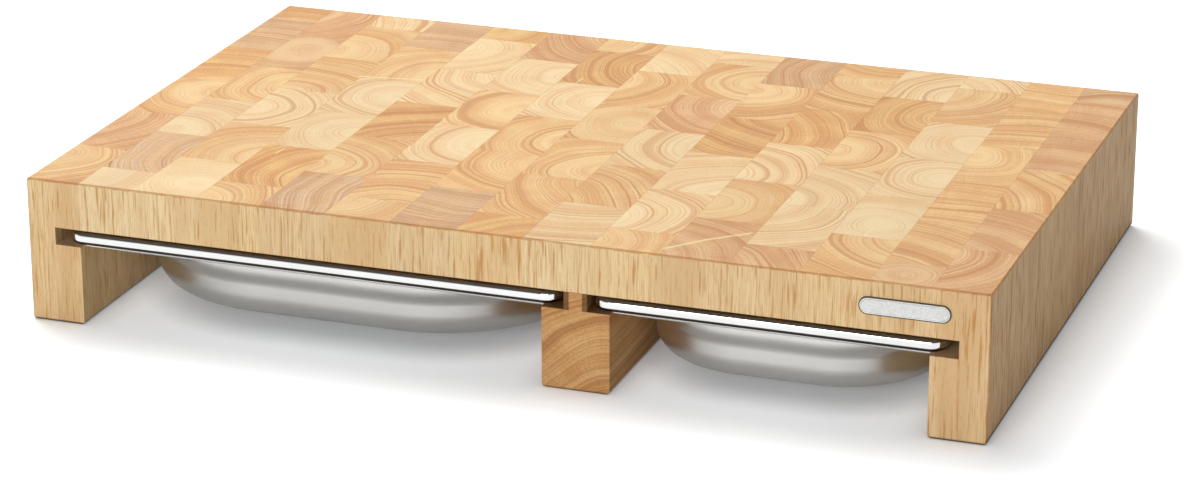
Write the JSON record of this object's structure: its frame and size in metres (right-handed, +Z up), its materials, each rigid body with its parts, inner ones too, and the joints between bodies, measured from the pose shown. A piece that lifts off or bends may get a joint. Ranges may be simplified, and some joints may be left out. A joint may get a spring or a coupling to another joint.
{
  "type": "cutting board with drawer trays",
  "caption": "End-grain wooden cutting board on side legs and a centre rail, with steel trays that slide out from under it like drawers.",
  "frame": {"origin": "middle of the footprint, on the worktop that the legs and the centre rail stand on", "axes": "+X to the right along the front, +Y from the front to the back, +Z up"},
  "size_m": [0.5, 0.327, 0.076],
  "materials": {
    "block_wood": "oiled satin",
    "rail_wood": "oiled satin",
    "tray_steel": "satin pan with a polished rim",
    "badge_metal": "matt, cast"
  },
  "bodies": {
    "board": {"left_leg_strip": "block_wood", "strip_02": "block_wood", "strip_03": "block_wood", "strip_04": "block_wood", "strip_05": "block_wood", "strip_06": "block_wood", "strip_07": "block_wood", "strip_08": "block_wood", "strip_09": "block_wood", "strip_10": "block_wood", "strip_11": "block_wood", "strip_12": "block_wood", "strip_13": "block_wood", "strip_14": "block_wood", "right_leg_strip": "block_wood", "centre_rail": "rail_wood", "badge_plate": "badge_metal"},
    "large_tray": {"large_tray": "tray_steel"},
    "small_tray": {"small_tray": "tray_steel"}
  },
  "joints": [
    {"name": "large_tray_slide", "type": "slide", "parent": "board", "child": "large_tray", "axis": [0, -1, 0], "range_m": [-0.33, 0.33]},
    {"name": "small_tray_slide", "type": "slide", "parent": "board", "child": "small_tray", "axis": [0, -1, 0], "range_m": [-0.33, 0.33]}
  ]
}
